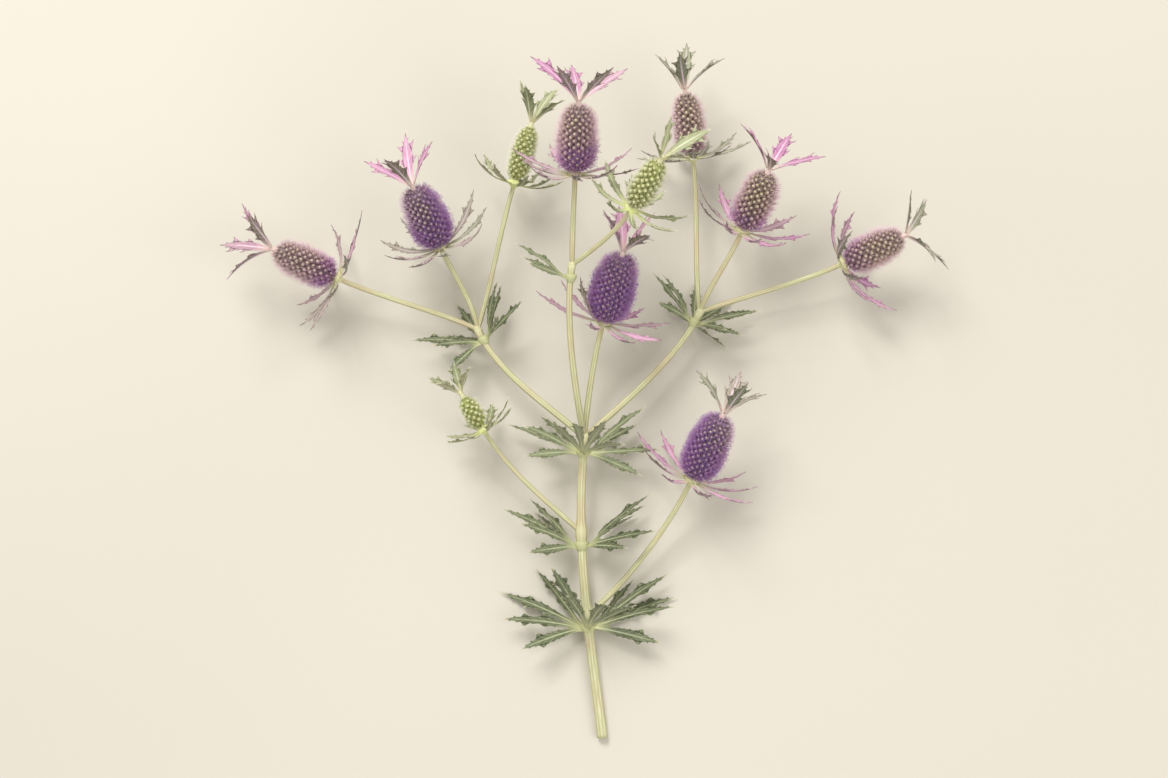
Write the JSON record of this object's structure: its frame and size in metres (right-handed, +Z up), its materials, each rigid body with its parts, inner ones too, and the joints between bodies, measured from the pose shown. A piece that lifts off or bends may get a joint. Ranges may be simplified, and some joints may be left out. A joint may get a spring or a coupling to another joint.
{
  "type": "sea holly stem",
  "caption": "Cut, branching sea holly stem lying on a surface, with cone-shaped flower heads, spiny bract ruffs and crowns, and cut leaves.",
  "frame": {"origin": "middle of the bounding box's bottom face, on the surface that the stem lies on", "axes": "+Y from the cut end towards the flower heads, +Z up from the surface, +X to the right seen from above"},
  "size_m": [0.4902, 0.469, 0.1775],
  "materials": {
    "stem": "satin",
    "leaf": "satin",
    "head_young": "matte",
    "head_mid": "matte",
    "head_bloom": "matte",
    "bract_green": "satin",
    "bract_mauve": "satin"
  },
  "bodies": {
    "root": {"stem": "stem", "head_centre": "head_bloom", "crown_centre": "bract_mauve", "ruff_centre": "bract_mauve", "head_left_mid": "head_bloom", "crown_left_mid": "bract_mauve", "ruff_left_mid": "bract_mauve", "head_left_outer": "head_mid", "crown_left_outer": "bract_mauve", "ruff_left_outer": "bract_mauve", "head_left_inner": "head_young", "crown_left_inner": "bract_green", "ruff_left_inner": "bract_green", "head_right_mid": "head_mid", "crown_right_mid": "bract_mauve", "ruff_right_mid": "bract_mauve", "head_right_outer": "head_mid", "crown_right_outer": "bract_mauve", "ruff_right_outer": "bract_mauve", "head_right_inner": "head_mid", "crown_right_inner": "bract_mauve", "ruff_right_inner": "bract_mauve", "head_back_mid": "head_mid", "crown_back_mid": "bract_mauve", "ruff_back_mid": "bract_mauve", "head_back_side": "head_young", "crown_back_side": "bract_green", "ruff_back_side": "bract_green", "head_low_right": "head_bloom", "crown_low_right": "bract_mauve", "ruff_low_right": "bract_mauve", "head_low_left": "head_young", "crown_low_left": "bract_green", "ruff_low_left": "bract_green", "leaves_low": "leaf", "leaves_high": "leaf", "leaves_fork": "leaf", "leaves_left": "leaf", "leaves_right": "leaf", "leaves_back": "leaf"}
  },
  "joints": []
}
